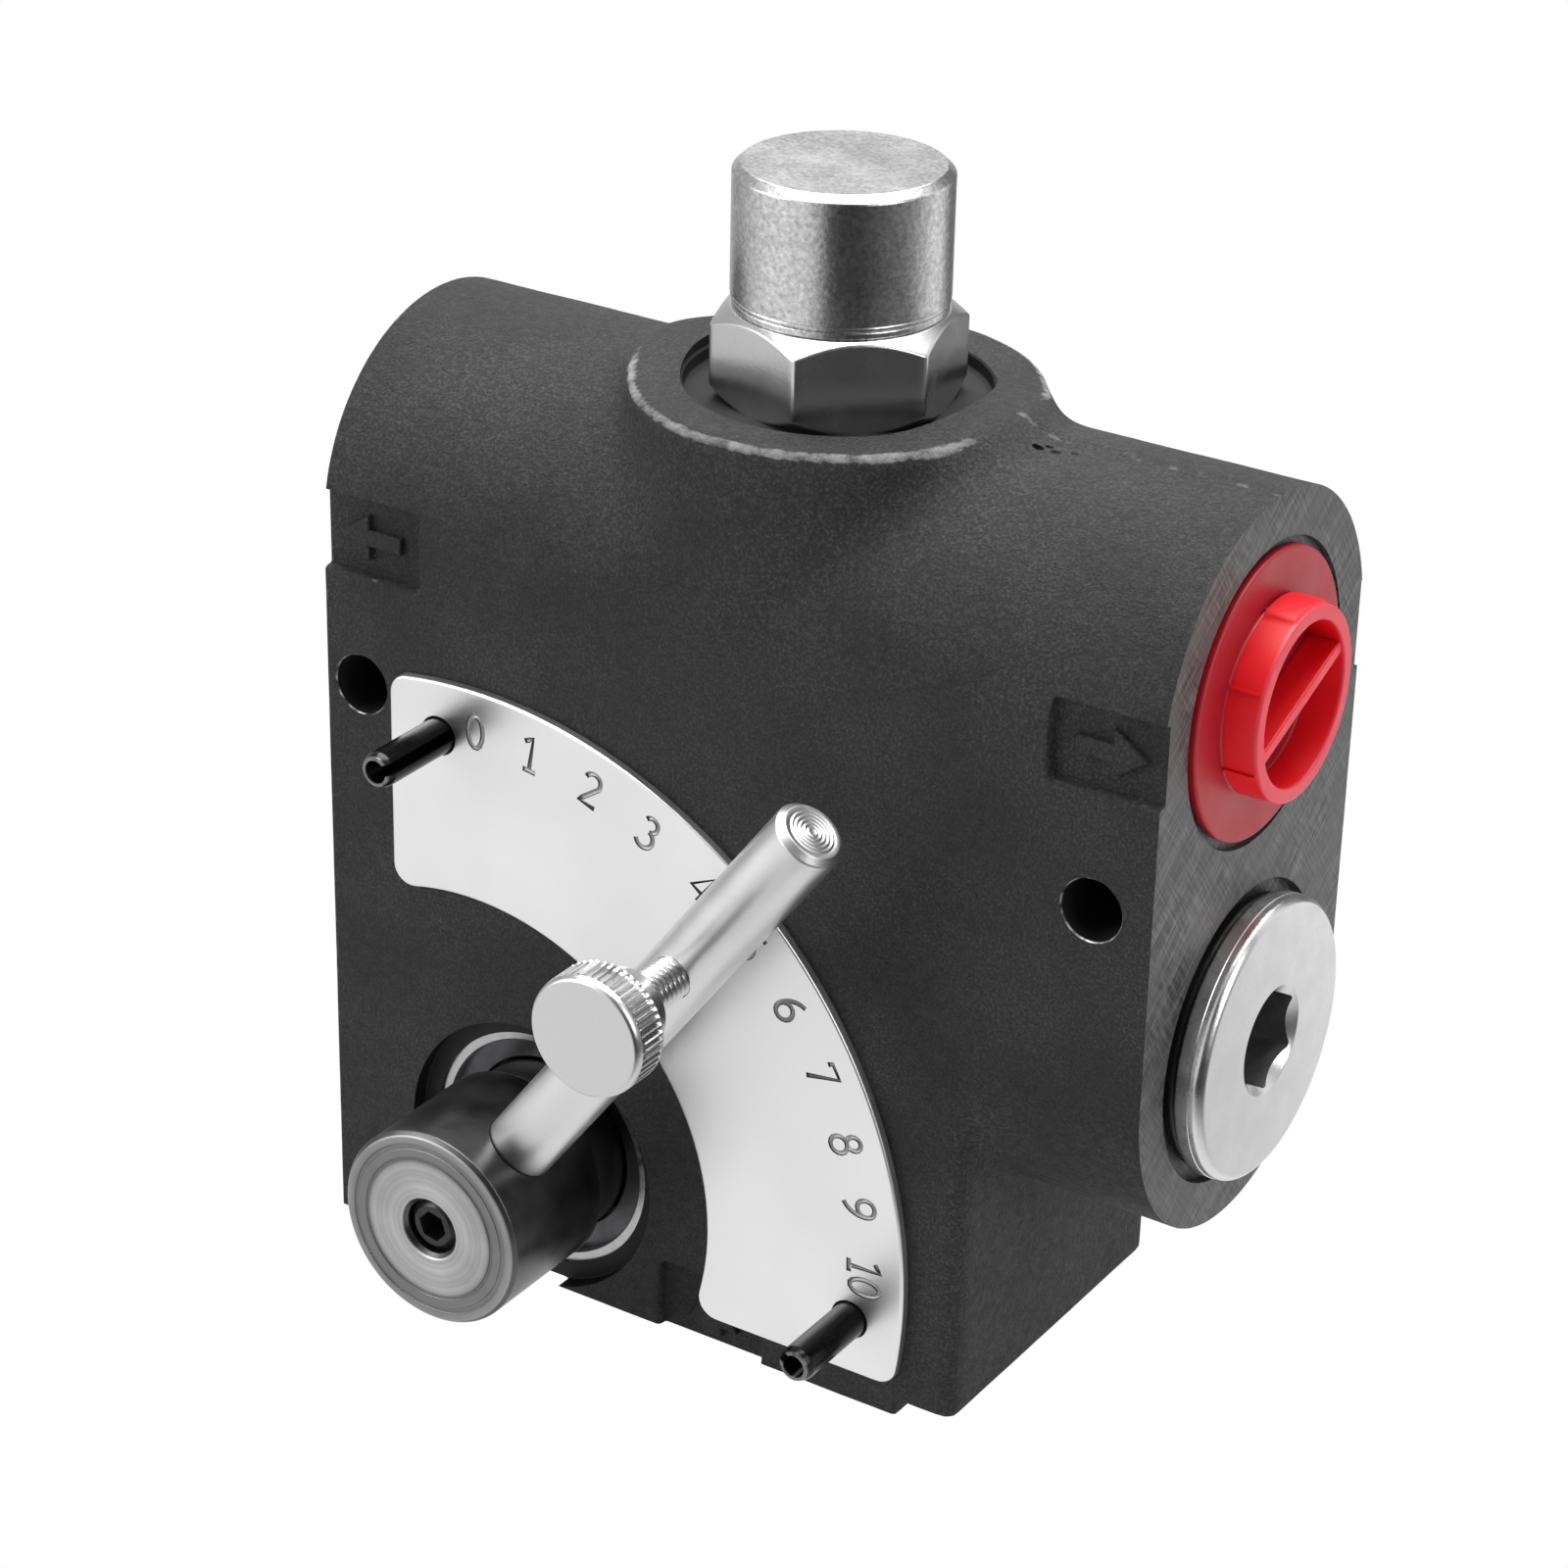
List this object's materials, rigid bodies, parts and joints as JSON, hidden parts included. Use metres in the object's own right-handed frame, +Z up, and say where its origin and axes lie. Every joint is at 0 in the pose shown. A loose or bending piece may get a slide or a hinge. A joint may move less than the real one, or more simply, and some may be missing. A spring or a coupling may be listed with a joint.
{
  "type": "flow control valve",
  "caption": "Pressure-compensated hydraulic flow control valve with a hand lever over a numbered dial, a rotary metering shaft, a bypass spool and a relief cartridge.",
  "frame": {"origin": "centre of the inlet port's mouth, on the machined bottom face", "axes": "+Z up, through the relief cartridge; -Y towards the dial and lever; -X towards the controlled-flow port, +X towards the excess-flow port"},
  "size_m": [0.1403, 0.0919, 0.1655],
  "materials": {
    "cast_body": "black phosphated sand casting, satin",
    "dial_plate": "bright nickel-plated pressing",
    "black_pin": "black oxide",
    "shaft_steel": "turned and ground",
    "bright_lever": "bright plated rod",
    "black_screw": "black oxide",
    "rubber": "nitrile rubber",
    "dark_steel": "phosphated washer",
    "ring_steel": "spring steel, oiled",
    "bright_screw": "nickel-plated, knurled",
    "ground_steel": "hardened and ground",
    "spring_steel": "spring wire",
    "zinc_plug": "zinc plated",
    "zinc_cartridge": "zinc plated, turned",
    "zinc_cap": "zinc plated, turned",
    "red_plastic": "moulded polyethylene"
  },
  "bodies": {
    "body": {"valve_body": "cast_body", "dial_plate": "dial_plate", "stop_pin_zero": "black_pin", "stop_pin_ten": "black_pin", "shaft_thrust_washer": "dark_steel", "shaft_retaining_ring": "ring_steel", "compensator_spring": "spring_steel", "spool_plug_right": "zinc_plug", "spool_plug_left": "zinc_plug", "spool_plug_o_ring_right": "rubber", "spool_plug_o_ring_left": "rubber", "relief_body": "zinc_cartridge", "relief_body_o_ring": "rubber", "relief_seat": "ground_steel", "relief_spring": "spring_steel", "relief_lock_nut": "zinc_cartridge"},
    "control": {"control_shaft": "shaft_steel", "control_lever": "bright_lever", "lever_set_screw": "black_screw", "shaft_o_rings": "rubber"},
    "thumb_stud": {"thumb_screw_stud": "bright_screw"},
    "thumb_head": {"thumb_screw_head": "bright_screw"},
    "spool": {"compensator_spool": "ground_steel"},
    "poppet": {"relief_poppet": "ground_steel"},
    "relief_guide": {"relief_spring_guide": "ground_steel"},
    "relief_screw": {"relief_adjusting_screw": "black_screw"},
    "cap_seal": {"relief_cap_washer": "zinc_cartridge"},
    "cap": {"relief_cap": "zinc_cap"},
    "port_plug": {"ex_port_plug": "red_plastic"}
  },
  "joints": [
    {"name": "control_turn", "type": "hinge", "parent": "body", "child": "control", "pos_m": [-0.0309, -0.02735, 0.02], "axis": [0, -1, 0], "range_deg": [-51.4, 41.8]},
    {"name": "thumb_screw_travel", "type": "slide", "parent": "control", "child": "thumb_stud", "axis": [0, -1, 0], "range_m": [0, 0.006]},
    {"name": "thumb_screw_turn", "type": "hinge", "parent": "thumb_stud", "child": "thumb_head", "pos_m": [0.00464, -0.04045, 0.06785], "axis": [0, -1, 0], "range_deg": [0, 2160]},
    {"name": "spool_shift", "type": "slide", "parent": "body", "child": "spool", "axis": [-1, 0, 0], "range_m": [0, 0.008], "stiffness_N_per_m": 2500, "springref_m": -0.006, "deforming": ["compensator_spring"]},
    {"name": "relief_lift", "type": "slide", "parent": "body", "child": "poppet", "axis": [0, 0, 1], "range_m": [0, 0.0025], "stiffness_N_per_m": 5000, "springref_m": -0.004, "deforming": ["relief_spring"]},
    {"name": "relief_adjust_travel", "type": "slide", "parent": "body", "child": "relief_guide", "axis": [0, 0, -1], "range_m": [-0.001, 0.002], "deforming": ["relief_spring"]},
    {"name": "relief_adjust_turn", "type": "hinge", "parent": "relief_guide", "child": "relief_screw", "pos_m": [0, 0, 0.145], "axis": [0, 0, -1], "range_deg": [-360, 720]},
    {"name": "cap_lift", "type": "slide", "parent": "body", "child": "cap_seal", "axis": [0, 0, 1], "range_m": [0, 0.0054]},
    {"name": "cap_turn", "type": "hinge", "parent": "cap_seal", "child": "cap", "pos_m": [0, 0, 0.14755], "axis": [0, 0, 1], "range_deg": [0, 1296]},
    {"name": "port_plug_pull", "type": "slide", "parent": "body", "child": "port_plug", "axis": [1, 0, 0], "range_m": [0, 0.025]}
  ],
  "couplings": [
    {"joint": "thumb_screw_turn", "follows": "thumb_screw_travel", "rad_per_m": 6283.2},
    {"joint": "relief_adjust_turn", "follows": "relief_adjust_travel", "rad_per_m": 6283.2},
    {"joint": "cap_turn", "follows": "cap_lift", "rad_per_m": 4188.8}
  ]
}
